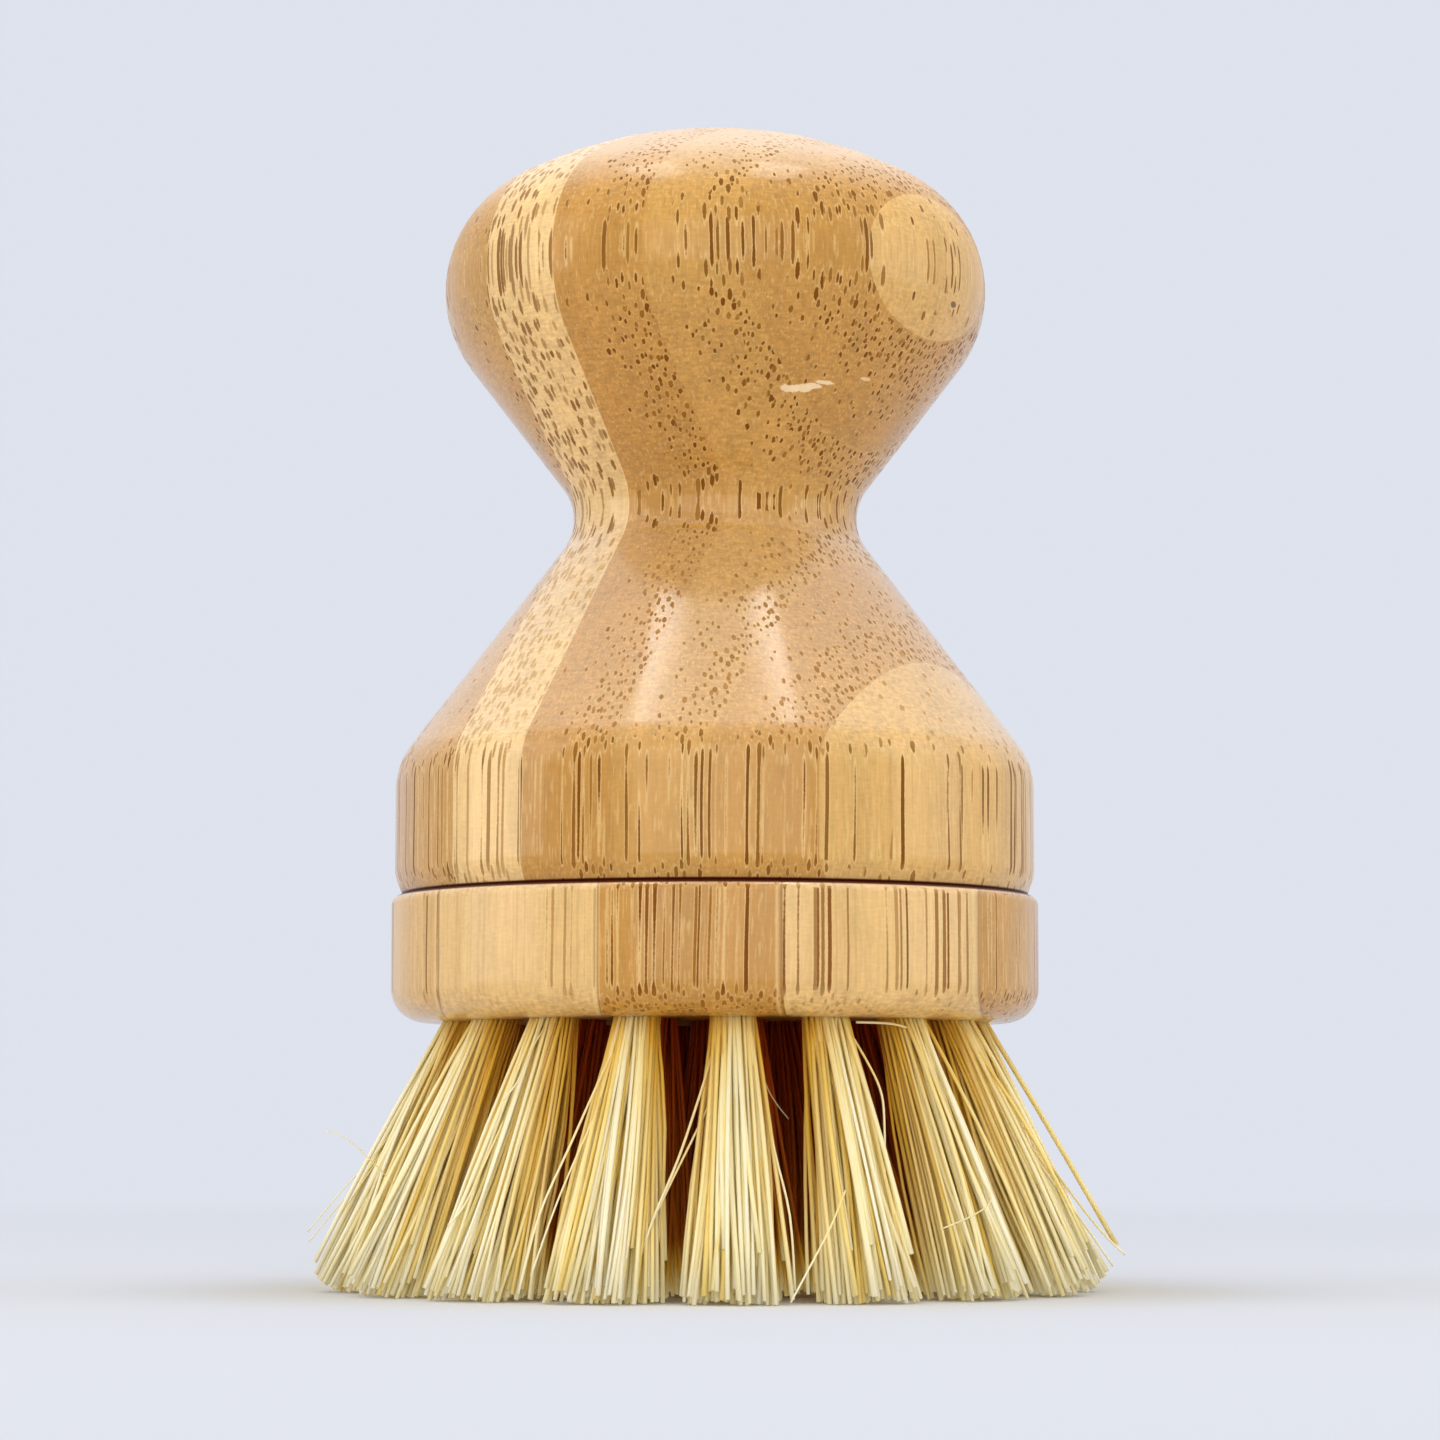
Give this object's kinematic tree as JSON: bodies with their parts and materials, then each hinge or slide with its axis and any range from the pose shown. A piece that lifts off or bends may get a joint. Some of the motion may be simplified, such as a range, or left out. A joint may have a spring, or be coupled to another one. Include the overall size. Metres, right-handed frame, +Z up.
{
  "type": "palm brush",
  "caption": "Round palm scrubbing brush: a turned bamboo knob handle on a round block, with tufts of stiff plant fibre that fan out below.",
  "frame": {"origin": "middle of the footprint, on the plane of the trimmed bristle tips", "axes": "+Z up along the turning axis to the knob, -Y to the front, +X to the right seen from the front"},
  "size_m": [0.0684, 0.0686, 0.1009],
  "materials": {
    "handle_bamboo": "glossy clear lacquer on laminated bamboo",
    "block_bamboo": "glossy clear lacquer on laminated bamboo",
    "dowel_wood": "plain planed beech",
    "anchor_steel": "bright flat steel wire",
    "plant_fibre": "dry straw-coloured plant fibre"
  },
  "bodies": {
    "root": {"handle": "handle_bamboo", "brush_block": "block_bamboo", "joint_dowel": "dowel_wood", "tuft_anchors": "anchor_steel", "tuft_outer_01": "plant_fibre", "tuft_outer_02": "plant_fibre", "tuft_outer_03": "plant_fibre", "tuft_outer_04": "plant_fibre", "tuft_outer_05": "plant_fibre", "tuft_outer_06": "plant_fibre", "tuft_outer_07": "plant_fibre", "tuft_outer_08": "plant_fibre", "tuft_outer_09": "plant_fibre", "tuft_outer_10": "plant_fibre", "tuft_outer_11": "plant_fibre", "tuft_outer_12": "plant_fibre", "tuft_outer_13": "plant_fibre", "tuft_outer_14": "plant_fibre", "tuft_outer_15": "plant_fibre", "tuft_outer_16": "plant_fibre", "tuft_outer_17": "plant_fibre", "tuft_middle_01": "plant_fibre", "tuft_middle_02": "plant_fibre", "tuft_middle_03": "plant_fibre", "tuft_middle_04": "plant_fibre", "tuft_middle_05": "plant_fibre", "tuft_middle_06": "plant_fibre", "tuft_middle_07": "plant_fibre", "tuft_middle_08": "plant_fibre", "tuft_middle_09": "plant_fibre", "tuft_middle_10": "plant_fibre", "tuft_middle_11": "plant_fibre", "tuft_middle_12": "plant_fibre", "tuft_inner_01": "plant_fibre", "tuft_inner_02": "plant_fibre", "tuft_inner_03": "plant_fibre", "tuft_inner_04": "plant_fibre", "tuft_inner_05": "plant_fibre", "tuft_inner_06": "plant_fibre", "tuft_centre": "plant_fibre"}
  },
  "joints": []
}
